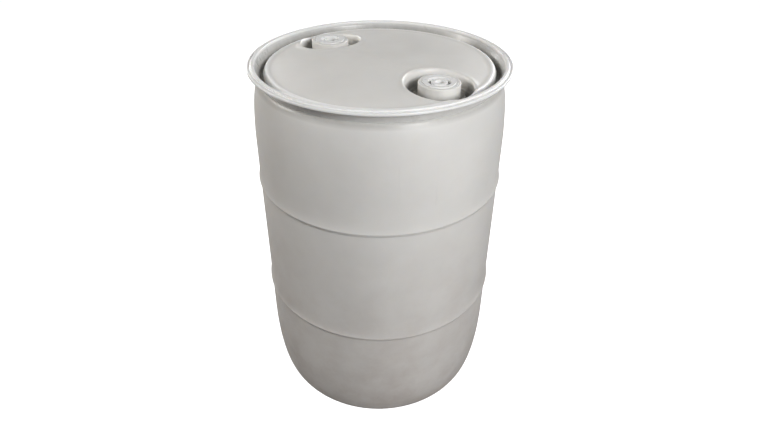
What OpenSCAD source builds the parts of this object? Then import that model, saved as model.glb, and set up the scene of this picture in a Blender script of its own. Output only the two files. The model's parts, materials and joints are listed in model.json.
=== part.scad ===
/* [Drum] */
// Overall height, from the floor to the crest of the handling ring
drum_h = 883; // [700:1:1100]
// Outside diameter of the straight wall
wall_od = 587; // [470:1:720]
// Thickness of the blown shell
wall_t = 4; // [3:0.25:5.5]

/* [Wall] */
// Height of the lower bead's underside above the floor
bead_low_z = 292; // [250:1:330]
// Drop from the crest of the ring to the upper bead's underside
bead_high_drop = 285; // [270:1:340]
// How far each bead stands out from the straight wall
bead_proud = 2.2; // [1:0.1:4]
// Height over which a bead fades back into the wall above it
bead_fade = 92; // [40:1:100]
// Height of the short slope under a bead
bead_step = 8; // [2:0.5:12]
// Drop from the crest of the ring to where the shoulder starts to curve in
shoulder_drop = 180; // [120:1:200]
// Height of the long curve that draws the wall in towards the foot
foot_curve_h = 190; // [100:1:220]
// How far that curve draws the wall in
foot_curve_in = 31; // [15:1:45]
// Width of the flat foot that the drum stands on
foot_w = 16; // [10:1:30]
// Depth of the recess inside the foot
base_recess = 10; // [6:1:20]

/* [Head] */
// Drop from the crest of the ring to the middle of the domed deck
deck_drop = 1; // [0:0.5:8]
// How far the dome rises from its edge to its middle
dome_rise = 16; // [8:1:20]
// Inset of the deck's edge from the straight wall
deck_inset = 31.5; // [30:0.5:40]
// Rounding of the deck's edge
deck_edge_r = 8; // [6:1:10]
// Drop from the crest of the ring to the channel around the deck
channel_drop = 33; // [31:1:36]
// Inset of the shoulder's top from the straight wall
ledge_inset = 20; // [18:0.5:22]

/* [Handling ring] */
// How far the ring's edge stands out from the straight wall
ring_proud = 4; // [1:0.5:8]
// Radial width of the ring's flange
flange_w = 17; // [15:0.5:20]
// Height of the flange's outer edge
flange_edge = 6; // [4.5:0.5:8]
// Drop from the crest of the ring to the flange's outer shelf
flange_shelf_drop = 3; // [2.5:0.5:6]
// Radial width of the raised crest beside the web
crest_w = 8; // [6:0.5:10]
// Thickness of the ring's web where it stands on the shell
web_t = 6.5; // [5:0.5:8]
// Gap between the foot of the web and the deck's edge
web_gap = 4.5; // [4.5:0.5:7]

/* [Bung pockets] */
// Direction of the front bung from the drum's axis, in degrees
bung_angle = -48; // [-90:1:0]
// Clear width of each pocket around its collar
pocket_gap = 27.5; // [22:0.5:30]
// Drop from the crest of the ring to each pocket's floor
pocket_drop = 41; // [38:1:48]
// Rounding where a pocket's wall meets the deck
pocket_lip_r = 6; // [3:0.5:8]
// Rounding at the foot of a pocket's wall
pocket_foot_r = 5; // [3:0.5:8]
// Thickness of the collar that holds the threaded insert
collar_t = 4.5; // [3.5:0.5:6]
// Drop from the crest of the ring to the top of the collar
collar_drop = 4.5; // [4:0.5:8]

/* [Threaded inserts] */
// Width of the insert's rim around the seat
insert_rim = 4; // [3:0.5:6]
// How far the locking rib stands out into the collar
rib_proud = 2.4; // [1.5:0.1:3]
// Height of the locking rib
rib_h = 6; // [4:0.5:8]
// How far the insert reaches below the pocket's floor
insert_tail = 3; // [1:0.5:8]
// Depth of the seat for the plug's flange and gasket
seat_depth = 4.5; // [4:0.5:6]

/* [Plugs] */
// How far a plug's flange reaches out past the larger thread
flange_lip = 5.5; // [4.5:0.5:7]
// Thickness of a plug's flange
flange_t = 4.5; // [3.5:0.5:6]
// Thickness of a plug's gasket
gasket_t = 2; // [1.5:0.25:3]
// Length of a plug's skirt below its flange
skirt_l = 23; // [21:0.5:26]
// Thickness of a plug's skirt behind its thread
skirt_t = 4; // [3:0.25:5]
// Thickness of a plug's floor
plug_floor_t = 4.5; // [3:0.5:6]
// Width of a plug's wrench lugs
lug_w = 6; // [4:0.5:8]

/* [Threads] */
// Crest radius of the front plug's fine pipe thread
fine_r = 30; // [29:0.1:30.2]
// Pitch of the fine pipe thread
fine_pitch = 2.209; // [2:0.001:2.5]
// Depth of the fine pipe thread
fine_depth = 1.3; // [1:0.1:1.4]
// Crest radius of the rear plug's coarse thread
coarse_r = 28; // [27:0.1:29]
// Pitch of the coarse thread
coarse_pitch = 4; // [3.5:0.1:4.5]
// Depth of the coarse thread
coarse_depth = 2.3; // [1.8:0.1:2.5]
// Crest radius of the reducer plug's thread
reducer_r = 13.2; // [12.6:0.1:13.6]
// Pitch of the reducer plug's thread
reducer_pitch = 1.814; // [1.6:0.001:2]
// Depth of the reducer plug's thread
reducer_depth = 1; // [0.8:0.1:1.1]
// Radial clearance between a screwed pair
thread_gap = 0.35; // [0.3:0.05:0.5]

/* [Reducer plug] */
// How far the reducer plug's flange reaches out past its thread
reducer_lip = 3.8; // [3:0.1:4.5]
// Thickness of the reducer plug's flange
reducer_flange_t = 3.5; // [2.5:0.25:4]
// Thickness of the reducer plug's gasket
reducer_gasket_t = 1.5; // [1:0.25:2]
// Length of the reducer plug's skirt below its flange
reducer_skirt_l = 13; // [12.5:0.5:15]
// Drop from the front plug's top to the hub that takes the reducer plug
hub_drop = 7; // [6:0.5:9]

/* [Hidden] */

// Facets: round parts, long arcs of an outline, and thread segments for each turn
$fn = 96;
arc_n = 14;
corner_n = 5;
turn_n = 36;
small_turn_n = 24;

// Colours
natural = [0.93, 0.92, 0.89];
ring_white = [0.95, 0.945, 0.92];
insert_white = [0.97, 0.965, 0.95];
plug_white = [0.98, 0.98, 0.97];
gasket_grey = [0.72, 0.72, 0.70];

// Radii about the drum's axis
wall_r = wall_od / 2;
bead_r = wall_r + bead_proud;
ring_r = wall_r + ring_proud;
deck_r = wall_r - deck_inset;
ledge_r = wall_r - ledge_inset;
foot_r = wall_r - foot_curve_in;
foot_in_r = foot_r - foot_w;
recess_slope = 14;
channel_fillet = 3;

// Heights above the floor
deck_z = drum_h - deck_drop;
dome_r = (deck_r * deck_r + dome_rise * dome_rise) / (2 * dome_rise);
dome_cz = deck_z - dome_r;
channel_z = drum_h - channel_drop;
shoulder_z = drum_h - shoulder_drop;
bead_high_z = drum_h - bead_high_drop;

// Handling ring: radii and heights of its section
web_in = deck_r + web_gap;
web_out = web_in + web_t;
flange_in = ring_r - flange_w;
shelf_z = drum_h - flange_shelf_drop;
flange_z = shelf_z - flange_edge;
crest_out = flange_in + crest_w;
ring_round = 2;
ring_groove = 1.4;
web_fillet = 6;
web_neck_out = flange_in - 1;

// Plug flanges, and the inserts, collars and pockets around them
thread_r = max(fine_r, coarse_r);
seat_gap = 0.5;
flange_r = thread_r + flange_lip;
insert_r = flange_r + seat_gap + insert_rim;
collar_r = insert_r + collar_t;
pocket_r = collar_r + pocket_gap;
collar_round = 1.5;

// Bung pockets
bung_r = deck_r - pocket_lip_r - pocket_r;
bung_tilt = asin(bung_r / dome_r);
lip_out = pocket_r + pocket_lip_r;
lip_z = dome_r - sqrt(dome_r * dome_r - lip_out * lip_out);
pocket_z = drum_h - pocket_drop;
collar_z = drum_h - collar_drop;
sky = 40;

// Inserts
insert_z = pocket_z - wall_t - insert_tail;
rib_z = (pocket_z + collar_z) / 2 - rib_h / 2;
rib_sides = 8;
seat_z = collar_z - seat_depth;
relief = 1;
bore_thread_l = 21;
male_lead = 3;
female_lead = 1.5;

// Plugs
flange_z0 = seat_z + gasket_t;
plug_top_z = flange_z0 + flange_t;
plug_bottom_z = flange_z0 - skirt_l;
plug_floor_z = plug_bottom_z + plug_floor_t;
gasket_out = flange_r - 0.5;
gasket_gap = 0.4;
edge_round = 1.2;
lug_count = 4;
lug_drop = 6;
lug_reach = 7;

// Hub, reducer plug and its gasket
hub_z = plug_top_z - hub_drop;
hub_t = 4.5;
hub_r = reducer_r + thread_gap + hub_t;
reducer_flange_r = reducer_r + reducer_lip;
reducer_z0 = hub_z + reducer_gasket_t;
reducer_top_z = reducer_z0 + reducer_flange_t;
reducer_bottom_z = reducer_z0 - reducer_skirt_l;
reducer_wall = 3;
reducer_floor_t = 3;
reducer_lug_w = 3.5;
reducer_lug_reach = 3.2;
reducer_lead = 2;

// Points of an arc about (cx, cz), from angle a0 to a1, with radii rx and rz
function arc(cx, cz, rx, rz, a0, a1, n) =
    [for (i = [0:n]) let (a = a0 + (a1 - a0) * i / n) [cx + rx * cos(a), cz + rz * sin(a)]];

// A bead's outline: a short slope under it, then a long fade into the wall above
function bead(z, t) = [
    [wall_r - t, z],
    [bead_r - t, z + bead_step],
    [wall_r - t, z + bead_fade]
];

// Outline of the shell from the middle of the base to the middle of the deck.
// With t = 0 it is the outside; with t = wall_t it is the cavity.
function shell_outline(t) = concat(
    [[0, base_recess + t], [foot_in_r - recess_slope - t / 2, base_recess + t], [foot_in_r - t / 2, t]],
    arc(foot_r, foot_curve_h, foot_curve_in - t, foot_curve_h - t, -90, 0, arc_n),
    bead(bead_low_z, t),
    bead(bead_high_z, t),
    arc(ledge_r, shoulder_z, ledge_inset - t, channel_z - t - shoulder_z, 0, 90, arc_n),
    arc(deck_r - t + channel_fillet + t, channel_z - t + channel_fillet + t,
        channel_fillet + t, channel_fillet + t, 270, 180, corner_n),
    let (edge_x = deck_r - deck_edge_r, edge_a = acos(edge_x / (dome_r - deck_edge_r)))
        concat(
            arc(edge_x, dome_cz + edge_x * tan(edge_a), deck_edge_r - t, deck_edge_r - t, 0, edge_a, corner_n),
            arc(0, dome_cz, dome_r - t, dome_r - t, edge_a + (90 - edge_a) / arc_n, 90, arc_n)
        )
);

// Places what follows at a bung: side 0 is the front one, side 1 the rear one
module at_bung(side) {
    rotate([0, 0, bung_angle + 180 * side]) translate([bung_r, 0, 0]) children();
}

// A closed ring or disc from an outline of radii and heights
module turned(outline) {
    rotate_extrude() polygon(outline);
}

// One helical ridge, r_root to r_root + depth, its middle at height 0 where it starts.
// It is sunk below r_root so that it joins or cuts the cylinder of that radius.
module helix(r_root, depth, pitch, turns, n_turn, grow) {
    crest = 0.22 * pitch / 2 + grow;
    foot = 0.38 * pitch + grow;
    sink = 0.3;
    section = [[-sink, -foot], [depth, -crest], [depth, crest], [-sink, foot]];
    k = len(section);
    n = round(turns * n_turn);
    fade = n_turn / 3;
    thin = 0.03;
    points = [
        for (i = [0:n])
            let (a = 360 * i / n_turn, g = max(thin, min(1, i / fade, (n - i) / fade)))
                for (p = section)
                    let (r = r_root + (p[0] > 0 ? p[0] * g : p[0]))
                        [r * cos(a), r * sin(a), pitch * i / n_turn + p[1] * (0.4 + 0.6 * g)]
    ];
    sides = [
        for (i = [0:n - 1])
            for (j = [0:k - 1])
                let (a = i * k + j, b = i * k + (j + 1) % k)
                    each [[a, b, a + k], [b, b + k, a + k]]
    ];
    start = [[for (j = [0:k - 1]) k - 1 - j]];
    end = [[for (j = [0:k - 1]) n * k + j]];
    polyhedron(points = points, faces = concat(start, sides, end));
}

// Male thread below a plug's flange, and the female thread that it runs in.
// Both start a whole number of pitches below the same seat, so they are in mesh.
module male_thread(z_seat, r, depth, pitch, length, lead, n_turn) {
    down = floor(length / pitch);
    translate([0, 0, z_seat - down * pitch])
        helix(r - depth, depth, pitch, down - lead / pitch, n_turn, 0);
}
module female_thread(z_seat, r, depth, pitch, length, lead, n_turn) {
    down = floor(length / pitch) + 1;
    translate([0, 0, z_seat - down * pitch])
        helix(r - depth + thread_gap, depth, pitch, down + lead, n_turn, thread_gap / 2);
}

// Void of a pocket, open at the top, with a rounded foot. Its rounded lip lies on
// the dome, so it leans outwards with the dome's slope at the bung.
module pocket_void() {
    turned(concat(
        [[0, pocket_z]],
        arc(pocket_r - pocket_foot_r, pocket_z + pocket_foot_r, pocket_foot_r, pocket_foot_r, -90, 0, corner_n),
        [[pocket_r, drum_h + sky], [0, drum_h + sky]]
    ));
    translate([-bung_r, 0, dome_cz]) rotate([0, bung_tilt, 0]) translate([0, 0, dome_r - lip_z])
        turned(concat(
            [[0, -pocket_lip_r]],
            arc(lip_out, -pocket_lip_r, pocket_lip_r, pocket_lip_r, 180, 90, corner_n),
            [[lip_out, sky], [0, sky]]
        ));
}

// The shell's own wall around and under a pocket, inside the cavity
module pocket_wall() {
    translate([0, 0, pocket_z - wall_t])
        cylinder(r = pocket_r + wall_t, h = pocket_drop + sky);
}

// Raised collar of the shell around the insert
module collar() {
    turned(concat(
        [[0, pocket_z - wall_t], [collar_r, pocket_z - wall_t]],
        arc(collar_r - collar_round, collar_z - collar_round, collar_round, collar_round, 0, 90, corner_n),
        [[0, collar_z]]
    ));
}

// Outer form of the insert, with an eight-sided locking rib
module insert_body() {
    translate([0, 0, insert_z]) cylinder(r = insert_r, h = collar_z - insert_z);
    translate([0, 0, rib_z]) cylinder(r = insert_r + rib_proud, h = rib_h, $fn = rib_sides);
}

module drum_shell() {
    color(natural)
    difference() {
        union() {
            difference() {
                turned(shell_outline(0));
                for (side = [0, 1]) at_bung(side) pocket_void();
            }
            for (side = [0, 1]) at_bung(side) collar();
        }
        difference() {
            turned(shell_outline(wall_t));
            for (side = [0, 1]) at_bung(side) pocket_wall();
        }
        for (side = [0, 1]) at_bung(side) insert_body();
    }
}

module handling_ring() {
    color(ring_white)
    turned(concat(
        [[web_in, channel_z], [web_out, channel_z]],
        arc(web_neck_out + web_fillet, flange_z - web_fillet, web_fillet, web_fillet, 180, 90, corner_n),
        arc(ring_r - ring_round, flange_z + ring_round, ring_round, ring_round, -90, 0, corner_n),
        arc(ring_r - ring_round, shelf_z - ring_round, ring_round, ring_round, 0, 90, corner_n),
        [[crest_out + 2 * ring_groove, shelf_z], [crest_out + ring_groove, shelf_z - ring_groove],
         [crest_out, shelf_z]],
        arc(crest_out - ring_round, drum_h - ring_round, ring_round, ring_round, 0, 90, corner_n),
        arc(flange_in + ring_round, drum_h - ring_round, ring_round, ring_round, 90, 180, corner_n)
    ));
}

// Insert of a bung: bore with a female thread, and a seat for the flange and gasket
module threaded_insert(r, depth, pitch) {
    color(insert_white)
    difference() {
        insert_body();
        translate([0, 0, insert_z - 1]) cylinder(r = r - depth + thread_gap, h = collar_z);
        translate([0, 0, insert_z - 1])
            cylinder(r = r + thread_gap + relief, h = seat_z - bore_thread_l - insert_z + 1);
        translate([0, 0, seat_z]) cylinder(r = flange_r + seat_gap, h = collar_z);
        female_thread(seat_z, r, depth, pitch, bore_thread_l, female_lead, turn_n);
    }
}

// Cup-shaped body of a bung plug: flange, threaded skirt and floor
module plug_body(r, depth, pitch) {
    root = r - depth;
    difference() {
        union() {
            turned(concat(
                [[0, plug_bottom_z], [root - edge_round, plug_bottom_z],
                 [root, plug_bottom_z + edge_round], [root, flange_z0], [flange_r, flange_z0]],
                arc(flange_r - edge_round, plug_top_z - edge_round, edge_round, edge_round, 0, 90, corner_n),
                [[0, plug_top_z]]
            ));
            male_thread(seat_z, r, depth, pitch, skirt_l - male_lead, male_lead, turn_n);
        }
        translate([0, 0, plug_floor_z]) cylinder(r = root - skirt_t, h = sky);
    }
}

// Wrench lugs around the inside of a plug's cup, reaching in from its wall
module wrench_lugs(cup_r, reach) {
    for (i = [0:lug_count - 1])
        rotate([0, 0, 90 * i])
            translate([cup_r - reach, -lug_w / 2, plug_floor_z])
                cube([reach + skirt_t / 2, lug_w, plug_top_z - lug_drop - plug_floor_z]);
}

module front_threaded_insert() {
    at_bung(0) threaded_insert(fine_r, fine_depth, fine_pitch);
}

module rear_threaded_insert() {
    at_bung(1) threaded_insert(coarse_r, coarse_depth, coarse_pitch);
}

module front_bung_plug() {
    cup_r = fine_r - fine_depth - skirt_t;
    at_bung(0)
    color(plug_white)
    difference() {
        union() {
            plug_body(fine_r, fine_depth, fine_pitch);
            wrench_lugs(cup_r, cup_r - hub_r + 1);
            translate([0, 0, plug_floor_z]) cylinder(r = hub_r, h = hub_z - plug_floor_z);
        }
        translate([0, 0, plug_bottom_z - 1])
            cylinder(r = reducer_r - reducer_depth + thread_gap, h = skirt_l + sky);
        female_thread(hub_z, reducer_r, reducer_depth, reducer_pitch, reducer_skirt_l,
                      female_lead, small_turn_n);
    }
}

module rear_bung_plug() {
    at_bung(1)
    color(plug_white)
    union() {
        plug_body(coarse_r, coarse_depth, coarse_pitch);
        wrench_lugs(coarse_r - coarse_depth - skirt_t, lug_reach);
    }
}

// Flat ring gasket under a flange
module gasket(z, r_in, r_out, t) {
    color(gasket_grey)
    translate([0, 0, z])
    difference() {
        cylinder(r = r_out, h = t);
        translate([0, 0, -1]) cylinder(r = r_in, h = t + 2);
    }
}

module front_plug_gasket() {
    at_bung(0) gasket(seat_z, thread_r + gasket_gap, gasket_out, gasket_t);
}

module rear_plug_gasket() {
    at_bung(1) gasket(seat_z, thread_r + gasket_gap, gasket_out, gasket_t);
}

module reducer_gasket() {
    at_bung(0) gasket(hub_z, reducer_r + gasket_gap, reducer_flange_r - 0.5, reducer_gasket_t);
}

// Small threaded plug in the middle of the front plug
module reducer_plug() {
    root = reducer_r - reducer_depth;
    cup = root - reducer_wall;
    at_bung(0)
    color(plug_white)
    union() {
        difference() {
            union() {
                turned(concat(
                    [[0, reducer_bottom_z], [root, reducer_bottom_z], [root, reducer_z0],
                     [reducer_flange_r, reducer_z0]],
                    arc(reducer_flange_r - edge_round, reducer_top_z - edge_round, edge_round, edge_round,
                        0, 90, corner_n),
                    [[0, reducer_top_z]]
                ));
                male_thread(hub_z, reducer_r, reducer_depth, reducer_pitch,
                            reducer_skirt_l - reducer_lead, reducer_lead, small_turn_n);
            }
            translate([0, 0, reducer_bottom_z + reducer_floor_t]) cylinder(r = cup, h = sky);
        }
        for (i = [0, 1])
            rotate([0, 0, 180 * i])
                translate([cup - reducer_lug_reach, -reducer_lug_w / 2, reducer_bottom_z + reducer_floor_t / 2])
                    cube([reducer_lug_reach + reducer_wall / 2, reducer_lug_w,
                          reducer_top_z - reducer_bottom_z - reducer_flange_t]);
    }
}

drum_shell();
handling_ring();
front_threaded_insert();
rear_threaded_insert();
front_bung_plug();
front_plug_gasket();
reducer_plug();
reducer_gasket();
rear_bung_plug();
rear_plug_gasket();
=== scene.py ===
"""Looks of a closed-head plastic drum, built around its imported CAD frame. Units are metres."""

import json
import math

import bmesh
import bpy
import numpy as np
from mathutils import Euler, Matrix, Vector
from mathutils.geometry import delaunay_2d_cdt


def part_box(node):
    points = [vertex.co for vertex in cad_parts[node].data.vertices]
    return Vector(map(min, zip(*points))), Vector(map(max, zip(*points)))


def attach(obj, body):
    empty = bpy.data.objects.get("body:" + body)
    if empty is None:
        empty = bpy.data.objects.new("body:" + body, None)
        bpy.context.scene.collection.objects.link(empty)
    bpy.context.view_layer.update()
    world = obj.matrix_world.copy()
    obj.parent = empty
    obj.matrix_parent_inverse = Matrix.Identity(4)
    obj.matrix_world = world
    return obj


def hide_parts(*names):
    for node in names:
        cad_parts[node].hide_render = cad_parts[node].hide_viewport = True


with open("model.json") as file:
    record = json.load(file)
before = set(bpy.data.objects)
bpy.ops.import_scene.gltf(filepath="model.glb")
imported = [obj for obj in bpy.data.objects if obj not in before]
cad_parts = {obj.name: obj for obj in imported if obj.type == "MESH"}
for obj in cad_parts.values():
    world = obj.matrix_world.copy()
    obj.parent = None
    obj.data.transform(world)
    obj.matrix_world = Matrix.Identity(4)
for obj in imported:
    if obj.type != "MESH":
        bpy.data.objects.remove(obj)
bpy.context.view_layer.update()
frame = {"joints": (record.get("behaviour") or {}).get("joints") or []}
for default in ("Cube", "Light", "Camera"):
    if default in bpy.data.objects:
        bpy.data.objects.remove(bpy.data.objects[default])

MM = 0.001

# ---------------------------------------------------------------- sizes read from the frame

shell_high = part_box("drum_shell")[1]
ring_low, ring_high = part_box("handling_ring")
insert_low, insert_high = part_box("front_threaded_insert")
pivots = {j["name"]: Vector(j["pos_m"]) for j in frame["joints"] if j["type"] == "hinge"}

top_z = ring_high.z
ring_r = ring_high.x
channel_z = ring_low.z
collar_z = insert_high.z
insert_z = insert_low.z
bungs = [pivots["front_plug_turn"], pivots["rear_plug_turn"]]
bung_r = math.hypot(bungs[0].x, bungs[0].y)
bung_angle = math.atan2(bungs[0].y, bungs[0].x)

# ---------------------------------------------------------------- sizes of the shell's section

bead_proud = 2.2 * MM
wall_r = shell_high.x - bead_proud
bead_zs = (0.292, 0.598)
bead_nose = 3.6 * MM
bead_groove = 0.5 * MM
bead_under = 12 * MM
bead_fade = 11 * MM
shoulder_z = 0.703
ledge_r = wall_r - 20 * MM
deck_r = wall_r - 31.5 * MM
deck_edge_r = 8 * MM
edge_rise = 3 * MM
dome_rise = 16 * MM
deck_z = top_z - 1 * MM
foot_curve_h = 0.190
foot_curve_in = 31 * MM
foot_w = 16 * MM
base_recess = 10 * MM
ceiling_z = insert_z + 3 * MM
shell_t = 4 * MM
seam_rise = 0.55 * MM
seam_w = 1.3 * MM
sag_depth = 0.35 * MM

# ---------------------------------------------------------------- sizes of the bung pockets

pocket_r = 72 * MM
pocket_lip = 6 * MM
pocket_foot = 5 * MM
rim_rise = 2.4 * MM
rim_w = 6 * MM
pocket_z = top_z - 41 * MM
collar_r = 44.5 * MM
insert_r = 40 * MM
moat_ridge_r = 58 * MM
moat_ridge_rise = 2.6 * MM
moat_ridge_w = 2.6 * MM

# Points around the drum, a pocket and a plug
TURN_N = 256
POCKET_N = 144
PLUG_N = 144

# How near a point may lie to a hole's edge, and how near two points are one, in the flat patches
touching = 1e-6
weld = 1e-7


# ---------------------------------------------------------------- outlines

def filleted(corners, step=math.radians(9)):
    """Points of an open outline from corners (r, z, fillet radius), each corner rounded by its radius."""
    points = []
    for i, (r, z, radius) in enumerate(corners):
        here = np.array((r, z))
        if radius == 0 or i in (0, len(corners) - 1):
            points.append((r, z))
            continue
        back = np.array(corners[i - 1][:2]) - here
        ahead = np.array(corners[i + 1][:2]) - here
        room = 0.49 * min(np.linalg.norm(back), np.linalg.norm(ahead))
        back /= np.linalg.norm(back)
        ahead /= np.linalg.norm(ahead)
        half = math.acos(max(-1, min(1, float(back @ ahead)))) / 2
        radius = min(radius, room * math.tan(half))
        middle = (back + ahead) / np.linalg.norm(back + ahead)
        centre = here + middle * radius / math.sin(half)
        start = here + back * radius / math.tan(half) - centre
        turn = math.pi - 2 * half
        sign = 1 if back[0] * ahead[1] - back[1] * ahead[0] < 0 else -1
        n = max(2, math.ceil(turn / step))
        for k in range(n + 1):
            a = sign * turn * k / n
            c, s = math.cos(a), math.sin(a)
            points.append((
                centre[0] + c * start[0] - s * start[1],
                centre[1] + s * start[0] + c * start[1],
            ))
    return points


def arc(cx, cz, rx, rz, a0, a1, n):
    """Points of an elliptical arc about (cx, cz), angles in degrees."""
    angles = [math.radians(a0 + (a1 - a0) * i / n) for i in range(n + 1)]
    return [(cx + rx * math.cos(a), cz + rz * math.sin(a)) for a in angles]


def spaced(points, step):
    """The same outline with its long spans cut into pieces no longer than step."""
    out = [points[0]]
    for (r0, z0), (r1, z1) in zip(points, points[1:]):
        n = max(1, math.ceil(math.hypot(r1 - r0, z1 - z0) / step))
        out += [(r0 + (r1 - r0) * k / n, z0 + (z1 - z0) * k / n) for k in range(1, n + 1)]
    return out


def smooth_step(t):
    """0 below 0 and 1 above 1, with a smooth rise between."""
    t = max(0.0, min(1.0, t))
    return t * t * (3 - 2 * t)


def bead(z):
    """A bead from below: a soft underside swells out to the nose, then fades back into the wall above."""
    under_n, fade_n = 12, 16
    under = [(k / under_n, z + bead_under * (k / under_n - 0.5)) for k in range(under_n + 1)]
    nose = [(wall_r - bead_groove + (bead_nose + bead_groove) * smooth_step(t), h) for t, h in under]
    rise = [bead_fade * 3.2 * (k / fade_n) ** 1.6 for k in range(1, fade_n + 1)]
    fade = [(wall_r + bead_nose * math.exp(-h / bead_fade), z + bead_under / 2 + h) for h in rise]
    return [(wall_r, z - 1.6 * bead_under)] + nose + fade


# ---------------------------------------------------------------- mesh building

class Skin:
    """Collects the vertices and faces of one closed mesh, ring by ring."""

    def __init__(self):
        self.points = []
        self.faces = []

    def ring(self, coords):
        first = len(self.points)
        self.points.extend(tuple(map(float, p)) for p in coords)
        return list(range(first, first + len(coords)))

    def bridge(self, a, b):
        if len(a) == 1:
            a, b = b, a
        n = len(a)
        for i in range(n):
            j = (i + 1) % n
            if len(b) == 1:
                self.faces.append((a[i], a[j], b[0]))
            else:
                self.faces.append((a[i], a[j], b[j], b[i]))

    def chain(self, rings):
        for a, b in zip(rings, rings[1:]):
            self.bridge(a, b)

    def mesh_object(self, name, sharp=math.radians(38)):
        mesh = bpy.data.meshes.new(name)
        mesh.from_pydata(self.points, [], self.faces)
        work = bmesh.new()
        work.from_mesh(mesh)
        bmesh.ops.recalc_face_normals(work, faces=work.faces)
        work.to_mesh(mesh)
        work.free()
        mesh.shade_smooth()
        mesh.set_sharp_from_angle(angle=sharp)
        piece = bpy.data.objects.new(name, mesh)
        bpy.context.scene.collection.objects.link(piece)
        return piece


def around(n, start=0.0):
    """Angles of n even steps round a circle."""
    return [start + 2 * math.pi * i / n for i in range(n)]


def circle(centre, r, z, angles):
    return [(centre[0] + r * math.cos(a), centre[1] + r * math.sin(a), z) for a in angles]


def lathe(skin, outline, angles, centre=(0, 0), shape=None):
    """Rings of an outline turned about a vertical line. A point on the line becomes a pole."""
    rings = []
    for r, z in outline:
        if r < 1e-9:
            rings.append(skin.ring([(centre[0], centre[1], z)]))
        elif shape:
            rings.append(skin.ring([shape(r, z, a) for a in angles]))
        else:
            rings.append(skin.ring(circle(centre, r, z, angles)))
    skin.chain(rings)
    return rings


# ---------------------------------------------------------------- drum shell

dome_r = (deck_r ** 2 + dome_rise ** 2) / (2 * dome_rise)
dome_cz = deck_z - dome_r
edge_x = deck_r - deck_edge_r
edge_tilt = math.acos(edge_x / (dome_r - deck_edge_r))
edge_cz = dome_cz + edge_x * math.tan(edge_tilt)
edge_start = edge_x + deck_edge_r * math.cos(edge_tilt)


def bung_distance(x, y):
    """Distance from a point to the middle of the nearer bung."""
    return min(math.hypot(x - b.x, y - b.y) for b in bungs)


def seam_bump(across):
    """Height of the parting seam's ridge at a distance from its middle."""
    return seam_rise * math.exp(-(across / seam_w) ** 2)


def deck_height(x, y):
    """Height of the deck's skin: dome, rounded edge, pocket lips with raised rims, seam and slight sag."""
    r = math.hypot(x, y)
    dome = dome_cz + math.sqrt(dome_r ** 2 - r ** 2)
    edge = dome
    if r > edge_start:
        edge = edge_cz + math.sqrt(max(0, deck_edge_r ** 2 - (r - edge_x) ** 2))
    edge_drop = max(0, dome - edge)
    lip_drop = 0
    for b in bungs:
        into = pocket_r + pocket_lip - math.hypot(x - b.x, y - b.y)
        if into > 0:
            lip_drop = pocket_lip - math.sqrt(max(0, pocket_lip ** 2 - into ** 2))
    drop = (edge_drop ** 3 + lip_drop ** 3) ** (1 / 3)
    along = x * math.cos(bung_angle) + y * math.sin(bung_angle)
    across = -x * math.sin(bung_angle) + y * math.cos(bung_angle)
    rim = 0.0
    for b in bungs:
        off = (math.hypot(x - b.x, y - b.y) - pocket_r - pocket_lip) / rim_w
        rim += rim_rise * math.exp(-off * off) * max(0, 1 - (r / deck_r) ** 8)
    rim += edge_rise * math.exp(-((r - edge_x) / rim_w) ** 2)
    inner = max(0, 1 - (r / edge_x) ** 6)
    wave = math.sin(17 * x + 1.1) * math.cos(23 * y) + 0.6 * math.sin(41 * along + 31 * across)
    sag = sag_depth * wave
    return dome + rim - drop + inner * (sag + seam_bump(across))


def deck_points():
    """Free points of the deck's mesh: rings at the edge and lips, rows along the seam, a hexagonal fill."""
    quarter = [math.sin(math.radians(a)) for a in range(6, 90, 9)]
    wanted = []
    for s in quarter + [-0.3, -0.7, -1.2]:
        wanted += [(p[0], p[1]) for p in circle((0, 0), edge_x + deck_edge_r * s, 0, around(TURN_N))]
    for b in bungs:
        for s in quarter + [-0.25, -0.7, -1.3]:
            r = pocket_r + pocket_lip - pocket_lip * s
            wanted += [(p[0], p[1]) for p in circle(b, r, 0, around(POCKET_N))]
    c, s = math.cos(bung_angle), math.sin(bung_angle)
    reach = bung_r - pocket_r - pocket_lip
    for off in (0, 0.5, 1.0, 1.7, 2.6):
        for side in (-1, 1):
            o = off * side * seam_w
            for t in np.arange(-reach, reach, 4 * MM):
                wanted.append((t * c - o * s, t * s + o * c))
    gap = 7 * MM
    row_share = 0.866
    rows = int(2 * deck_r / (gap * row_share)) + 1
    for i in range(rows):
        y = -deck_r + i * gap * row_share
        for j in range(int(2 * deck_r / gap) + 2):
            wanted.append((-deck_r + (j + 0.5 * (i % 2)) * gap, y))
    return wanted


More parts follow.
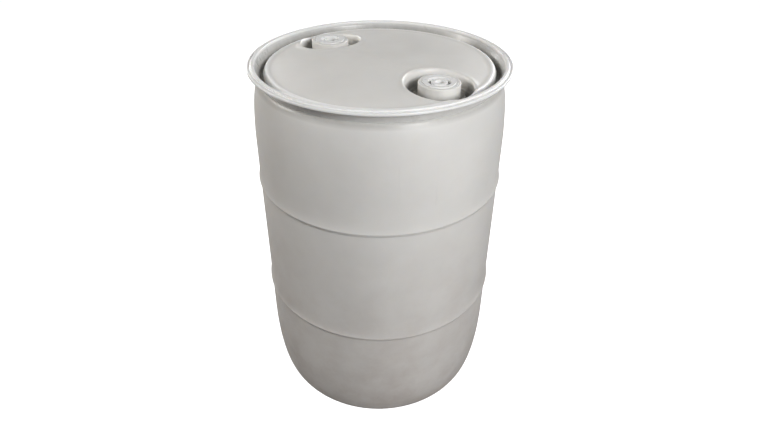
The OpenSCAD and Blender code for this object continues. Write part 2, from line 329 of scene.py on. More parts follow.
def deck_patch(skin, edge_ring, pocket_rings):
    """Joins the deck's edge and both pocket rims with a dense triangle mesh that follows deck_height."""
    kept = [tuple(skin.points[i][:2]) for i in edge_ring]
    loops = [list(range(len(edge_ring)))]
    ids = list(edge_ring)
    for ring in pocket_rings:
        loops.append(list(range(len(kept), len(kept) + len(ring))))
        kept += [tuple(skin.points[i][:2]) for i in ring]
        ids += ring
    near = 0.75 * MM
    cells = {}

    def taken(p):
        cx, cy = int(p[0] // near), int(p[1] // near)
        for i in range(cx - 1, cx + 2):
            for j in range(cy - 1, cy + 2):
                if any(math.dist(p, q) < near for q in cells.get((i, j), ())):
                    return True
        return False

    def keep(p):
        cells.setdefault((int(p[0] // near), int(p[1] // near)), []).append(p)

    for p in kept:
        keep(p)
    for p in deck_points():
        r = math.hypot(*p)
        inside = r < deck_r - 0.1 * MM and bung_distance(*p) > pocket_r + 0.04 * MM
        if inside and not taken(p):
            keep(p)
            kept.append(p)
            ids += skin.ring([(p[0], p[1], deck_height(*p))])
    borders = [(loop[i], loop[(i + 1) % len(loop)]) for loop in loops for i in range(len(loop))]
    flat = [Vector(p) for p in kept]
    verts, _, faces, origins, _, _ = delaunay_2d_cdt(flat, borders, [], 0, weld)
    hole_r = pocket_r * math.cos(math.pi / POCKET_N) - touching
    for f in faces:
        mid = sum((verts[v] for v in f), Vector((0, 0))) / len(f)
        hole = bung_distance(*mid) < hole_r
        on_edge = all(origins[v][0] in loops[0] for v in f)
        outside = on_edge and mid.length > deck_r * math.cos(math.pi / TURN_N)
        if not hole and not outside:
            skin.faces.append(tuple(ids[origins[v][0]] for v in f))


def pocket(skin, bung):
    """One pocket: wall, floor with a low ridge, and collar, down through the bore to the cavity's ceiling."""
    angles = around(POCKET_N)
    rim = skin.ring([(x, y, deck_height(x, y)) for x, y, _ in circle(bung, pocket_r, 0, angles)])
    rings = [rim]
    low = pocket_z + pocket_foot
    for t in (0.25, 0.5, 0.75, 0.93):
        wall = [(*skin.points[i][:2], low + (skin.points[i][2] - low) * (1 - t)) for i in rim]
        rings.append(skin.ring(wall))
    floor = arc(pocket_r - pocket_foot, pocket_z + pocket_foot, pocket_foot, pocket_foot, 0, -90, 9)
    half_n = 8
    for k in range(-half_n, half_n + 1):
        off = k / half_n * 2.2 * moat_ridge_w
        rise = moat_ridge_rise * math.exp(-(off / moat_ridge_w) ** 2)
        floor.append((moat_ridge_r - off, pocket_z + rise))
    collar_foot_z = pocket_z + 12 * MM
    collar_edge_z = collar_z - 5 * MM
    floor += filleted([
        (moat_ridge_r - 7 * MM, pocket_z, 0),
        (collar_r, pocket_z, 2.5 * MM),
        (collar_r, collar_foot_z, 0),
    ])[1:]
    floor += spaced([(collar_r, collar_foot_z), (collar_r, collar_edge_z)], 6 * MM)[1:]
    floor += filleted([
        (collar_r, collar_edge_z, 0),
        (collar_r, collar_z, 4 * MM),
        (insert_r, collar_z, 0.4 * MM),
        (insert_r, ceiling_z, 0),
    ])[1:]
    inner = lathe(skin, floor, angles, centre=bung)
    skin.chain(rings + [inner[0]])
    return rim, inner[-1]


def wall_shape(r, z, a):
    """A point of the outer wall, with the slow waves and the parting seam that blow moulding leaves."""
    free = max(0.0, min(1.0, (z - 0.05) / 0.1, (0.80 - z) / 0.08))
    wave = (
        math.sin(3 * a + 9 * z) * math.cos(11 * z + 0.4)
        + 0.7 * math.sin(5 * a - 14 * z)
        + 0.5 * math.sin(8 * a + 6 * z)
    )
    offs = [math.remainder(a - bung_angle - half, 2 * math.pi) for half in (0, math.pi)]
    seam = sum(seam_bump(r * off) for off in offs)
    r += free * (0.16 * MM * wave + 0.5 * seam)
    return r * math.cos(a), r * math.sin(a), z


def cavity_ceiling(skin, edge_ring, bores):
    """The flat ceiling of the cavity, a plain sheet with a hole for each bore."""
    rings = [edge_ring] + bores
    ids = [i for ring in rings for i in ring]
    flat = [Vector(skin.points[i][:2]) for i in ids]
    borders = []
    first = 0
    for ring in rings:
        borders += [(first + i, first + (i + 1) % len(ring)) for i in range(len(ring))]
        first += len(ring)
    verts, _, faces, origins, _, _ = delaunay_2d_cdt(flat, borders, [], 0, weld)
    hole_r = insert_r * math.cos(math.pi / POCKET_N) - touching
    for f in faces:
        mid = sum((verts[v] for v in f), Vector((0, 0))) / len(f)
        if bung_distance(*mid) > hole_r:
            skin.faces.append(tuple(ids[origins[v][0]] for v in f))


def drum_shell():
    """The blown body: outer wall, deck with both pockets, and the hollow inside, in one closed mesh."""
    skin = Skin()
    angles = around(TURN_N, bung_angle)
    foot_r = wall_r - foot_curve_in
    foot_in = foot_r - foot_w
    outline = filleted([
        (0, base_recess, 0),
        (foot_in - 14 * MM, base_recess, 8 * MM),
        (foot_in, 0, 2.5 * MM),
        (foot_r - 3 * MM, 0, 0),
    ])
    outline += arc(foot_r, foot_curve_h, foot_curve_in, foot_curve_h, -88, 0, 40)
    for z in bead_zs:
        outline += bead(z)
    outline += arc(ledge_r, shoulder_z, wall_r - ledge_r, channel_z - shoulder_z, 0, 90, 40)
    outline += filleted([
        (ledge_r - 2 * MM, channel_z, 0),
        (deck_r, channel_z, 3 * MM),
        (deck_r, edge_cz - 5 * MM, 0),
    ])
    outline += [(deck_r, edge_cz)]
    outside = lathe(skin, spaced(outline, 14 * MM), angles, shape=wall_shape)
    rims, bores = zip(*(pocket(skin, b) for b in bungs))
    deck_patch(skin, outside[-1], list(rims))
    inner_foot = foot_r - 5 * MM
    inner_wall = wall_r - shell_t
    inner_shoulder_h = channel_z - shell_t - shoulder_z
    cavity = [
        (0, base_recess + shell_t),
        (foot_in - 16 * MM, base_recess + shell_t),
        (foot_in - 2 * MM, shell_t),
    ]
    cavity += arc(inner_foot, foot_curve_h, inner_wall - inner_foot, foot_curve_h - shell_t, -90, 0, 12)
    cavity += [(inner_wall, shoulder_z)]
    turn = math.degrees(math.asin((ceiling_z - shoulder_z) / inner_shoulder_h))
    cavity += arc(ledge_r, shoulder_z, wall_r - ledge_r - shell_t, inner_shoulder_h, 6, turn, 10)
    inside = lathe(skin, cavity, angles[::4])
    cavity_ceiling(skin, inside[-1], list(bores))
    return skin.mesh_object("drum_shell_blown")


# ---------------------------------------------------------------- handling ring

def handling_ring():
    """The L-shaped ring: a leaning web, a flange that juts out, and a flat crest."""
    crest_in = ring_r - 17 * MM
    crest_out = crest_in + 8 * MM
    shelf_z = top_z - 3 * MM
    under_z = shelf_z - 6 * MM
    web_in = deck_r + 6.5 * MM
    web_out = deck_r + 11 * MM
    corners = [
        (web_in, channel_z, 0),
        (web_out, channel_z, 0),
        (crest_in - 1 * MM, under_z, 7 * MM),
        (ring_r, under_z, 2.2 * MM),
        (ring_r, shelf_z, 2.2 * MM),
        (crest_out + 3.2 * MM, shelf_z, 1.2 * MM),
        (crest_out + 1.4 * MM, shelf_z - 0.9 * MM, 0.8 * MM),
        (crest_out, shelf_z, 0.6 * MM),
        (crest_out, top_z, 2 * MM),
        (crest_in, top_z, 2.6 * MM),
        (crest_in - 0.6 * MM, top_z - 10 * MM, 8 * MM),
        (web_in, channel_z, 0),
    ]
    skin = Skin()
    rings = lathe(skin, spaced(filleted(corners), 8 * MM)[:-1], around(TURN_N))
    skin.bridge(rings[-1], rings[0])
    return skin.mesh_object("handling_ring_moulded")


# ---------------------------------------------------------------- threads, inserts and plugs

thread_gap = 0.35 * MM
FINE = {"r": 30 * MM, "depth": 1.3 * MM, "pitch": 2.209 * MM}
COARSE = {"r": 28 * MM, "depth": 2.3 * MM, "pitch": 4 * MM}
REDUCER = {"r": 13.2 * MM, "depth": 1.0 * MM, "pitch": 1.814 * MM}
insert_fit_r = insert_r - 0.05 * MM
two_inch_gasket_r = 30.4 * MM
reducer_gasket_r = 13.6 * MM


def thread_radius(thread, z, a, z_seat, low, high, grow=0.0):
    """Radius of a threaded surface. A crest passes the seat's height at angle 0, and both ends fade."""
    pitch = thread["pitch"]
    u = (z - z_seat) / pitch - a / (2 * math.pi)
    off = abs(u - round(u)) * pitch
    crest, foot = 0.11 * pitch + grow, 0.38 * pitch + grow
    height = max(0.0, min(1.0, (foot - off) / (foot - crest)))
    fade = max(0.0, min(1.0, (z - low) / pitch, (high - z) / pitch))
    return thread["r"] - thread["depth"] + 2 * grow + thread["depth"] * height * fade


def thread_rings(skin, centre, angles, turned_by, thread, z_from, z_to, z_seat, low, high, grow=0.0):
    """Rings of a threaded surface from one height to another."""
    n = max(8, math.ceil(abs(z_to - z_from) / thread["pitch"] * 14))
    rings = []
    for k in range(n + 1):
        z = z_from + (z_to - z_from) * k / n
        radii = [thread_radius(thread, z, a - turned_by, z_seat, low, high, grow) for a in angles]
        rings.append(skin.ring([
            (centre.x + r * math.cos(a), centre.y + r * math.sin(a), z) for r, a in zip(radii, angles)
        ]))
    skin.chain(rings)
    return rings


def joined(skin, *parts):
    """Bridges the last ring of each part to the first ring of the next, and the last part to the first."""
    for a, b in zip(parts, parts[1:] + parts[:1]):
        if not (len(a[-1]) == 1 and len(b[0]) == 1):
            skin.bridge(a[-1], b[0])


def threaded_insert(name, bung, turned_by, thread):
    """A moulded-in insert: seat for the flange and gasket, female thread and relief."""
    seat_z = bung.z
    seat_r = 36 * MM
    bore = thread["r"] - thread["depth"] + thread_gap
    relief_r = bore + thread["depth"] + 1 * MM
    thread_low = seat_z - 21 * MM
    thread_high = seat_z - 1 * MM
    skin = Skin()
    angles = around(PLUG_N, turned_by)
    rim = lathe(skin, filleted([
        (insert_fit_r, insert_z + 4 * MM, 0),
        (insert_fit_r, collar_z, 0.8 * MM),
        (seat_r, collar_z, 0.8 * MM),
        (seat_r, seat_z, 0.5 * MM),
        (bore + 0.8 * MM, seat_z, 0.0),
        (bore, seat_z - 0.8 * MM, 0),
    ]), angles, bung)
    bore_part = thread_rings(skin, bung, angles, turned_by, thread, thread_high, thread_low, seat_z,
                             thread_low, thread_high, thread_gap / 2)
    tail = lathe(skin, [
        (relief_r, thread_low - 0.4 * MM),
        (relief_r, insert_z),
        (insert_r - 1 * MM, insert_z),
        (insert_fit_r, insert_z + 1 * MM),
    ], angles, bung)
    joined(skin, rim, bore_part, tail)
    return skin.mesh_object(name)


def plug_top(skin, bung, angles, turned_by, radii, height):
    """Rings of a plug's upper face, from outside in: height(r, a) gives its relief."""
    rings = []
    for r in radii:
        if r < 1e-9:
            rings.append(skin.ring([(bung.x, bung.y, height(0, 0))]))
        else:
            rings.append(skin.ring([
                (bung.x + r * math.cos(a), bung.y + r * math.sin(a), height(r, a - turned_by)) for a in angles
            ]))
    skin.chain(rings)
    return rings


def lug_share(r, a, count, half_w, soft=0.5 * MM):
    """1 on a radial lug and 0 beside it, for lugs spaced evenly from angle 0."""
    step = 2 * math.pi / count
    across = r * math.sin(abs(math.remainder(a, step)))
    return 1 - smooth_step((across - half_w + soft) / (2 * soft))


def wall_radii(r, soft=0.35 * MM):
    """Close radii on both sides of a steep wall in a plug's relief."""
    return [r + 1.2 * soft, r + soft, r + 0.5 * soft, r, r - 0.5 * soft, r - soft, r - 1.2 * soft]


def radii_between(outer, inner, step):
    """Radii between two others, no further apart than step, without the two themselves."""
    n = max(1, math.ceil((outer - inner) / step))
    return [outer + (inner - outer) * k / n for k in range(1, n)]


def flange_outline(r, low, high, root):
    """From the top of a flange's rounded edge, round and under it, to the root of the thread below."""
    return filleted([
        (r - 3 * MM, high, 0),
        (r, high, 1.2 * MM),
        (r, low, 0.5 * MM),
        (root + 1 * MM, low, 0),
        (root, low - 0.3 * MM, 0),
    ])


def front_plug():
    """Two-inch plug: cup with four lugs, and a hub in its middle that takes the reducer plug."""
    bung, turned_by = bungs[0], bung_angle
    low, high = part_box("front_bung_plug")
    gasket_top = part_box("front_plug_gasket")[1].z
    hub_z = pivots["reducer_turn"].z
    flange_r = (high.x - low.x) / 2
    root = FINE["r"] - FINE["depth"]
    cup_r, floor_z = root - 4 * MM, low.z + 4.5 * MM
    hub_r = REDUCER["r"] + thread_gap + 4.5 * MM
    bore = REDUCER["r"] - REDUCER["depth"] + thread_gap
    lug_top = high.z - 6 * MM
    face_r = flange_r - 3 * MM
    male_low = low.z + 1.6 * MM
    bore_high, bore_low = hub_z - 1 * MM, hub_z - 13 * MM
    soft = 0.35 * MM

    def height(r, a):
        in_cup = smooth_step((cup_r + soft - r) / (2 * soft))
        in_hub = smooth_step((hub_r + soft - r) / (2 * soft))
        lug = lug_share(r, a, 4, 3 * MM) * (lug_top - floor_z)
        inside = floor_z + max(lug, (hub_z - floor_z) * in_hub)
        rim = high.z - 0.7 * MM * smooth_step((33.5 * MM - r) / (1.5 * MM))
        return rim + (inside - rim) * in_cup

    skin = Skin()
    angles = around(PLUG_N * 2, turned_by)
    radii = [face_r] + radii_between(face_r, cup_r, 1 * MM) + wall_radii(cup_r)
    radii += radii_between(cup_r, hub_r, 1.5 * MM) + wall_radii(hub_r)
    radii += radii_between(hub_r, bore, 1.5 * MM) + [bore]
    radii = sorted(set(radii), reverse=True)
    top = plug_top(skin, bung, angles, turned_by, radii, height)
    bore_part = thread_rings(skin, bung, angles, turned_by, REDUCER, bore_high, bore_low, hub_z,
                             bore_low, bore_high, thread_gap / 2)
    base = lathe(skin, [(bore, low.z), (root - 1.2 * MM, low.z), (root, low.z + 1.2 * MM)], angles, bung)
    male = thread_rings(skin, bung, angles, turned_by, FINE, male_low, bung.z - 0.5 * MM, bung.z,
                        male_low, bung.z - 1 * MM)
    flange = lathe(skin, flange_outline(flange_r, gasket_top, high.z, root)[::-1], angles, bung)
    for i, a in zip(flange[-1], angles):
        x, y, _ = skin.points[i]
        skin.points[i] = (x, y, height(face_r, a - turned_by))
    joined(skin, top, bore_part, base, male, flange)
    return skin.mesh_object("front_bung_plug_threaded")


def cup_plug(name, bung, turned_by, thread, node, gasket,
             wall, floor_t, lugs, lug_w, lug_reach, lug_drop):
    """A plain threaded cup with wrench lugs on its wall."""
    low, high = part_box(node)
    gasket_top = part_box(gasket)[1].z
    flange_r = (high.x - low.x) / 2
    root = thread["r"] - thread["depth"]
    cup_r, floor_z = root - wall, low.z + floor_t
    soft = 0.3 * MM
    edge = min(3 * MM, 0.3 * (flange_r - cup_r))
    male_low = low.z + 1.4 * MM

    def height(r, a):
        in_cup = smooth_step((cup_r + soft - r) / (2 * soft))
        reach = smooth_step((r - cup_r + lug_reach + soft) / (2 * soft))
        lug = lug_share(r, a, lugs, lug_w / 2) * reach * (high.z - lug_drop - floor_z)
        return high.z + (floor_z + lug - high.z) * in_cup

    skin = Skin()
    angles = around(PLUG_N * 2, turned_by)
    outer = flange_r - edge
    radii = [outer] + radii_between(outer, cup_r, 1 * MM) + wall_radii(cup_r)
    radii += radii_between(cup_r, cup_r - lug_reach, 1.2 * MM) + wall_radii(cup_r - lug_reach)
    radii = sorted(set(radii), reverse=True)
    radii += radii_between(radii[-1], 0, 2.5 * MM) + [0]
    top = plug_top(skin, bung, angles, turned_by, radii, height)
    base = lathe(skin, [(0, low.z), (root - 1 * MM, low.z), (root, low.z + 1 * MM)], angles, bung)
    seat = bung.z
    male = thread_rings(skin, bung, angles, turned_by, thread, male_low, seat - 0.5 * MM, seat,
                        male_low, seat - 1 * MM)
    flange = lathe(skin, filleted([
        (outer, high.z, 0),
        (flange_r, high.z, min(1.2 * MM, edge)),
        (flange_r, gasket_top, 0.4 * MM),
        (root + 1 * MM, gasket_top, 0),
        (root, gasket_top - 0.3 * MM, 0),
    ])[::-1], angles, bung)
    joined(skin, top, base, male, flange)
    return skin.mesh_object(name)


def gasket(name, node, bung, r_in):
    """A foam ring with slightly bulged edges, inside its CAD ring."""
    low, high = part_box(node)
    r_out = (high.x - low.x) / 2
    t = high.z - low.z
    skin = Skin()
    outline = filleted([
        (r_in, low.z + t / 2, 0),
        (r_in, low.z, 0.4 * t),
        (r_out, low.z, 0.4 * t),
        (r_out, high.z, 0.4 * t),
        (r_in, high.z, 0.4 * t),
        (r_in, low.z + t / 2, 0),
    ])
    rings = lathe(skin, outline[:-1], around(PLUG_N), bung)
    skin.bridge(rings[-1], rings[0])
    return skin.mesh_object(name)


# ---------------------------------------------------------------- materials

class Nodes:
    """A node tree, with short calls to add and link nodes."""

    def __init__(self, tree):
        self.tree = tree

    def add(self, kind, **settings):
        node = self.tree.nodes.new(kind)
        for key, value in settings.items():
            if key in node.inputs:
                node.inputs[key].default_value = value
            else:
                setattr(node, key, value)
        return node

    def link(self, source, target):
        self.tree.links.new(source, target)

    def ramp(self, value, low, high, out_low, out_high):
        node = self.add("ShaderNodeMapRange", clamp=True)
        for key, v in (("From Min", low), ("From Max", high), ("To Min", out_low), ("To Max", out_high)):
            node.inputs[key].default_value = v
        self.link(value, node.inputs["Value"])
        return node.outputs["Result"]

    def math(self, operation, a, b):
        node = self.add("ShaderNodeMath", operation=operation)
        for socket, v in zip(node.inputs, (a, b)):
            if isinstance(v, (int, float)):
                socket.default_value = v
            else:
                self.link(v, socket)
        return node.outputs[0]

    def mix(self, factor, a, b):
        node = self.add("ShaderNodeMix", data_type="RGBA")
        self.link(factor, node.inputs["Factor"])
        for key, v in (("A", a), ("B", b)):
            socket = next(s for s in node.inputs if s.name == key and s.type == "RGBA")
            if isinstance(v, tuple):
                socket.default_value = (*v, 1)
            else:
                self.link(v, socket)
        return next(s for s in node.outputs if s.type == "RGBA")


class MaterialNodes(Nodes):
    """The node tree of a new material, with its shader, its object coordinates, noise and bumps."""

    def __init__(self, name):
        self.material = bpy.data.materials.new(name)
        self.material.use_nodes = True
        super().__init__(self.material.node_tree)
        self.shader = self.tree.nodes["Principled BSDF"]
        self.where = self.tree.nodes.new("ShaderNodeTexCoord").outputs["Object"]

    def noise(self, scale, detail=3.0, roughness=0.5, stretch=(1, 1, 1), turn=(0, 0, 0)):
        mapping = self.add("ShaderNodeMapping")
        mapping.inputs["Scale"].default_value = stretch
        mapping.inputs["Rotation"].default_value = turn
        self.link(self.where, mapping.inputs["Vector"])
        node = self.add("ShaderNodeTexNoise", Scale=scale, Detail=detail, Roughness=roughness)
        self.link(mapping.outputs["Vector"], node.inputs["Vector"])
        return node.outputs["Fac"]

    def bump(self, height, distance, strength=1.0, normal=None):
        node = self.add("ShaderNodeBump", Distance=distance, Strength=strength)
        self.link(height, node.inputs["Height"])
        if normal:
            self.link(normal, node.inputs["Normal"])
        return node.outputs["Normal"]


plastic_ior = 1.52


def from_axis(n):
    """Distance from the drum's axis."""
    flat = n.add("ShaderNodeVectorMath", operation="MULTIPLY")
    n.link(n.where, flat.inputs[0])
    flat.inputs[1].default_value = (1, 1, 0)
    reach = n.add("ShaderNodeVectorMath", operation="LENGTH")
    n.link(flat.outputs["Vector"], reach.inputs[0])
    return reach.outputs["Value"]


def painted_recess_shade(n, r, height):
    """Share of painted shade in the channel inside the ring, under its flange, and on the floors of the
    pockets.
    """
    web_lean = 0.42
    web = n.math("SUBTRACT", r, n.math("MULTIPLY", n.math("SUBTRACT", height, channel_z), web_lean))
    outside = n.ramp(web, deck_r + 7.5 * MM, deck_r + 9.5 * MM, 0, 1)
    under_flange = n.math("MULTIPLY", outside, n.ramp(height, top_z - 17 * MM, top_z - 9 * MM, 0.55, 0))
    inside = n.math("SUBTRACT", n.ramp(web, deck_r - 3 * MM, deck_r - 0.5 * MM, 0, 1), outside)
    channel = n.math("MULTIPLY", inside, n.ramp(height, top_z - 12 * MM, top_z - 4 * MM, 1, 0))
    channel = n.math("MULTIPLY", n.math("MAXIMUM", channel, under_flange),
                     n.ramp(height, channel_z - 14 * MM, channel_z - 5 * MM, 0, 1))
    pockets = n.math("MULTIPLY", n.ramp(height, pocket_z + 4 * MM, pocket_z + 24 * MM, 1, 0),
                     n.ramp(height, pocket_z - 6 * MM, pocket_z - 3 * MM, 0, 1))
    pockets = n.math("MULTIPLY", pockets, n.ramp(r, deck_r - 3 * MM, deck_r - 1 * MM, 1, 0))
    return n.math("MAXIMUM", channel, pockets)


def painted_edge_highlight(n, r, height):
    """Share of painted highlight, a pale band on the rounded edge of the deck."""
    band = n.math("MULTIPLY", n.ramp(r, deck_r - 14 * MM, deck_r - 9 * MM, 0, 1),
                  n.ramp(r, deck_r - 1 * MM, deck_r + 1 * MM, 1, 0))
    return n.math("MULTIPLY", band, n.ramp(height, channel_z + 4 * MM, channel_z + 9 * MM, 0, 1))


def blown_plastic(name, light, dark, low_shade_and_grime, rough, translucence, wear):
    """High-density polyethylene: cloudy body colour, soft orange-peel skin, scuffs, grime with painted shade
    low down, painted shade in the channel, under the flange and in the pockets, and a painted highlight on
    the deck's edge.
    """
    n = MaterialNodes(name)
    cloud = n.ramp(n.noise(7, 4, 0.55), 0.36, 0.66, 0, 1)
    colour = n.mix(cloud, dark, light)
    parts = n.add("ShaderNodeSeparateXYZ")
    n.link(n.where, parts.inputs[0])
    height = parts.outputs["Z"]
    # Painted shade with some grime: the wall is darker towards the bottom, for the fall of the light.
    low_down = n.ramp(height, 0.02, 0.62, 1.0, 0.0)
    smudge = n.ramp(n.noise(11, 6, 0.62), 0.40, 0.72, 0.35, 1.0)
    colour = n.mix(n.math("MULTIPLY", low_down, smudge), colour, low_shade_and_grime)
    r = from_axis(n)
    # Painted highlight: the deck's rounded edge is made paler.
    colour = n.mix(painted_edge_highlight(n, r, height), colour, edge_highlight_tint)
    # Painted shade: the channel, the neck under the flange and the pocket floors are made darker, in patches.
    patchy = n.ramp(n.noise(60, 5, 0.6), 0.3, 0.6, 0.82, 0.95)
    dust_and_shade = n.math("MULTIPLY", painted_recess_shade(n, r, height), patchy)
    colour = n.mix(dust_and_shade, colour, recess_shade_tint)
    scratches = n.ramp(n.noise(26, 5, 0.7, (1, 1, 0.09), (0.5, 0.2, 0)), 0.66, 0.74, 0, 1)
    rubs = n.ramp(n.noise(34, 5, 0.7, (0.12, 0.12, 1)), 0.66, 0.76, 0, 1)
    scuffs = n.math("MULTIPLY", n.math("MAXIMUM", scratches, rubs), wear)
    colour = n.mix(scuffs, colour, tuple(c * 0.86 for c in light))
    n.link(colour, n.shader.inputs["Base Color"])
    haze = n.ramp(n.noise(18, 4, 0.6), 0.3, 0.7, rough - 0.05, rough + 0.07)
    n.link(n.math("ADD", haze, n.math("MULTIPLY", scuffs, 0.18)), n.shader.inputs["Roughness"])
    peel = n.bump(n.noise(420, 2, 0.5), 0.00012, 0.55)
    ripple = n.bump(n.noise(46, 2, 0.4), 0.00035, 0.6, peel)
    n.link(n.bump(scuffs, 0.00012, 0.6, ripple), n.shader.inputs["Normal"])
    n.shader.inputs["IOR"].default_value = plastic_ior
    n.shader.inputs["Subsurface Weight"].default_value = translucence
    n.shader.inputs["Subsurface Radius"].default_value = (1.0, 0.82, 0.62)
    n.shader.inputs["Subsurface Scale"].default_value = 0.006
    return n.material


def moulded_plastic(name, light, dark, rough, translucence):
    """Injection-moulded polyethylene: finer, cleaner and a little glossier, with flow marks."""
    n = MaterialNodes(name)
    flow = n.ramp(n.noise(60, 4, 0.6, (1, 1, 0.35)), 0.35, 0.7, 0, 1)
    colour = n.mix(flow, dark, light)
    dust_and_shade = n.ramp(n.noise(210, 5, 0.7), 0.6, 0.75, 0, 0.5)
    colour = n.mix(dust_and_shade, colour, tuple(c * 0.84 for c in dark))
    n.link(colour, n.shader.inputs["Base Color"])
    n.link(n.ramp(n.noise(90, 3, 0.6), 0.3, 0.7, rough - 0.05, rough + 0.08), n.shader.inputs["Roughness"])
    grain = n.bump(n.noise(1500, 2, 0.5), 0.00004, 0.5)
    n.link(n.bump(n.noise(150, 3, 0.5), 0.00012, 0.5, grain), n.shader.inputs["Normal"])
    n.shader.inputs["IOR"].default_value = plastic_ior
    n.shader.inputs["Subsurface Weight"].default_value = translucence
    n.shader.inputs["Subsurface Radius"].default_value = (1.0, 0.85, 0.7)
    n.shader.inputs["Subsurface Scale"].default_value = 0.003
    return n.material


def foam(name, light, dark):
    """Closed-cell gasket foam: fine cells and no shine."""
    n = MaterialNodes(name)
    cells = n.add("ShaderNodeTexVoronoi", Scale=2600.0)
    n.link(n.where, cells.inputs["Vector"])
    shade = n.ramp(cells.outputs["Distance"], 0.0, 0.8, 0, 1)
    n.link(n.mix(shade, dark, light), n.shader.inputs["Base Color"])
    n.link(n.ramp(n.noise(300), 0.3, 0.7, 0.78, 0.95), n.shader.inputs["Roughness"])
    n.link(n.bump(cells.outputs["Distance"], 0.0001, 0.7), n.shader.inputs["Normal"])
    n.shader.inputs["Specular IOR Level"].default_value = 0.25
    return n.material


# Colour of the painted shade in the channel, under the flange and in the pockets.
recess_shade_tint = (0.36, 0.355, 0.335)
# Colour of the painted highlight on the deck's edge.
edge_highlight_tint = (0.96, 0.96, 0.95)
natural_light = (0.80, 0.79, 0.765)
natural_dark = (0.755, 0.745, 0.72)
ring_light = (0.94, 0.94, 0.932)
ring_dark = (0.91, 0.91, 0.90)
# Colour of the grime and painted shade low on the wall.
low_shade_and_grime_tint = (0.56, 0.515, 0.48)
shell_plastic = blown_plastic("shell_polyethylene", natural_light, natural_dark, low_shade_and_grime_tint, 0.40, 0.22, 0.35)
ring_plastic = blown_plastic("ring_polyethylene", ring_light, ring_dark, low_shade_and_grime_tint, 0.30, 0.18, 0.30)
insert_plastic = moulded_plastic("insert_polyethylene", (0.84, 0.84, 0.825), (0.80, 0.80, 0.78), 0.34, 0.15)
plug_plastic = moulded_plastic("plug_polyethylene", (0.90, 0.90, 0.895), (0.86, 0.86, 0.85), 0.30, 0.15)
gasket_foam = foam("gasket_foam", (0.55, 0.55, 0.53), (0.38, 0.38, 0.37))


def place(piece, body, node, material):
    """Gives a piece its material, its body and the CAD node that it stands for."""
    piece.data.materials.append(material)
    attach(piece, body)
    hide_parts(node)


place(drum_shell(), "drum", "drum_shell", shell_plastic)
place(handling_ring(), "drum", "handling_ring", ring_plastic)
place(threaded_insert("front_insert_threaded", bungs[0], bung_angle, FINE), "drum", "front_threaded_insert",
      insert_plastic)
place(threaded_insert("rear_insert_threaded", bungs[1], bung_angle + math.pi, COARSE), "drum",
      "rear_threaded_insert", insert_plastic)
place(front_plug(), "front_plug", "front_bung_plug", plug_plastic)
place(cup_plug("rear_bung_plug_threaded", bungs[1], bung_angle + math.pi, COARSE, "rear_bung_plug",
               "rear_plug_gasket", 4 * MM, 4.5 * MM, 4, 6 * MM, 7 * MM, 6 * MM),
      "rear_plug", "rear_bung_plug", plug_plastic)
place(cup_plug("reducer_plug_threaded", pivots["reducer_turn"], bung_angle, REDUCER, "reducer_plug",
               "reducer_gasket", 3 * MM, 3 * MM, 2, 3.5 * MM, 3.2 * MM, 4 * MM),
      "reducer", "reducer_plug", plug_plastic)
place(gasket("front_plug_gasket_foam", "front_plug_gasket", bungs[0], two_inch_gasket_r),
      "front_gasket", "front_plug_gasket", gasket_foam)
place(gasket("rear_plug_gasket_foam", "rear_plug_gasket", bungs[1], two_inch_gasket_r),
      "rear_gasket", "rear_plug_gasket", gasket_foam)
place(gasket("reducer_gasket_foam", "reducer_gasket", bungs[0], reducer_gasket_r),
      "reducer_seal", "reducer_gasket", gasket_foam)

# ---------------------------------------------------------------- stage, light and camera

# Strength of the sky from low to overhead, and its share from left to right
SKY_LOW, SKY_HIGH = 0.03, 0.04
SKY_LEFT, SKY_RIGHT = 0.9, 1.1

# Camera: distance from the aim point on the axis, angle above the floor, and small framing offsets
CAMERA_DISTANCE = 1.463
CAMERA_ELEVATION = math.radians(31.7)
CAMERA_AIM_Z = 0.5554
CAMERA_LENS = 27.07
CAMERA_ROLL = math.radians(0.3)
CAMERA_SHIFT = (0.001, -0.0447)


def pale_floor():
    """A wide pale floor. It looks white, and gives the drum only a soft bounce."""
    mesh = bpy.data.meshes.new("studio_floor")
    half = 14.0
    corners = [(-half, -half, 0), (half, -half, 0), (half, half, 0), (-half, half, 0)]
    mesh.from_pydata(corners, [], [(0, 1, 2, 3)])
    floor = bpy.data.objects.new("studio_floor", mesh)
    bpy.context.scene.collection.objects.link(floor)
    n = MaterialNodes("studio_floor_paint")
    n.shader.inputs["Roughness"].default_value = 0.9
    n.shader.inputs["Specular IOR Level"].default_value = 0.1
    path = n.add("ShaderNodeLightPath").outputs["Is Camera Ray"]
    n.link(n.mix(path, (0.34, 0.325, 0.32), (0.93, 0.93, 0.93)), n.shader.inputs["Base Color"])
    n.shader.inputs["Emission Color"].default_value = (1, 1, 1, 1)
    n.link(n.math("MULTIPLY", path, 0.95), n.shader.inputs["Emission Strength"])
    mesh.materials.append(n.material)


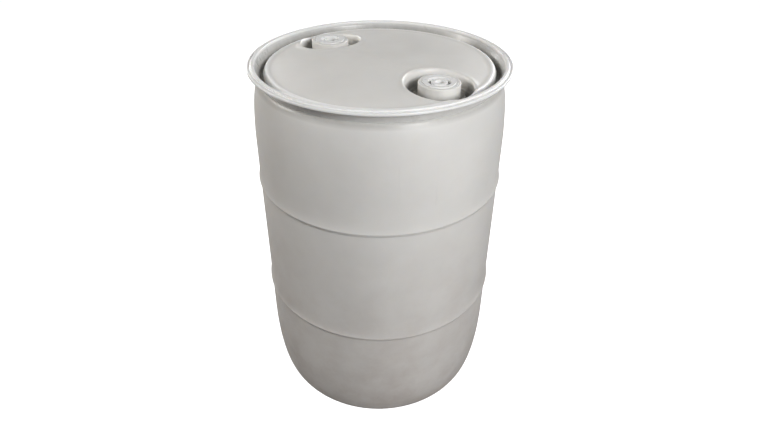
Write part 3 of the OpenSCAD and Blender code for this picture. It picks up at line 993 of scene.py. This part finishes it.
def studio_sky():
    """A soft white room: a little brighter overhead and to the right. The camera sees it as plain white."""
    world = bpy.data.worlds.new("studio_sky")
    bpy.context.scene.world = world
    world.use_nodes = True
    n = Nodes(world.node_tree)
    back = n.tree.nodes["Background"]
    back.inputs["Color"].default_value = (1, 1, 1, 1)
    parts = n.add("ShaderNodeSeparateXYZ")
    n.link(n.add("ShaderNodeTexCoord").outputs["Generated"], parts.inputs[0])
    up = n.ramp(parts.outputs["Z"], -0.1, 1.0, SKY_LOW, SKY_HIGH)
    side = n.ramp(parts.outputs["X"], -1.0, 1.0, SKY_LEFT, SKY_RIGHT)
    seen = n.add("ShaderNodeLightPath").outputs["Is Camera Ray"]
    n.link(n.math("MAXIMUM", n.math("MULTIPLY", up, side), seen), back.inputs["Strength"])


def softbox(name, place_at, look_at, size, power, colour=(1, 1, 1)):
    """A round area light that faces a point."""
    data = bpy.data.lights.new(name, "AREA")
    data.shape = "DISK"
    data.size = size
    data.energy = power
    data.color = colour
    lamp = bpy.data.objects.new(name, data)
    lamp.location = place_at
    lamp.rotation_euler = (Vector(look_at) - Vector(place_at)).to_track_quat("-Z", "Y").to_euler()
    bpy.context.scene.collection.objects.link(lamp)


def camera():
    """The scene's camera, aimed at a point on the drum's axis."""
    data = bpy.data.cameras.new("photo_camera")
    data.sensor_width = 36
    data.lens = CAMERA_LENS
    data.shift_x, data.shift_y = CAMERA_SHIFT
    eye = bpy.data.objects.new("photo_camera", data)
    out = Vector((0, -math.cos(CAMERA_ELEVATION), math.sin(CAMERA_ELEVATION)))
    eye.location = Vector((0, 0, CAMERA_AIM_Z)) + out * CAMERA_DISTANCE
    turn = Euler((0, 0, CAMERA_ROLL)).to_quaternion()
    eye.rotation_euler = ((-out).to_track_quat("-Z", "Y") @ turn).to_euler()
    bpy.context.scene.collection.objects.link(eye)
    bpy.context.scene.camera = eye


pale_floor()
studio_sky()
softbox("key_front_right", (1.25, -2.0, 1.95), (0, 0, 0.9 * top_z), 1.0, 52)
softbox("fill_left", (-2.2, 0.1, 1.75), (0, 0, top_z), 0.8, 28, (1, 0.97, 0.93))
softbox("sheen_right_back", (1.7, 2.2, 2.05), (0, 0, top_z), 0.9, 46)
softbox("rim_left_back", (-1.6, 2.6, 1.55), (0, 0, top_z), 0.9, 26)
camera()
bpy.context.scene.view_settings.view_transform = "Standard"
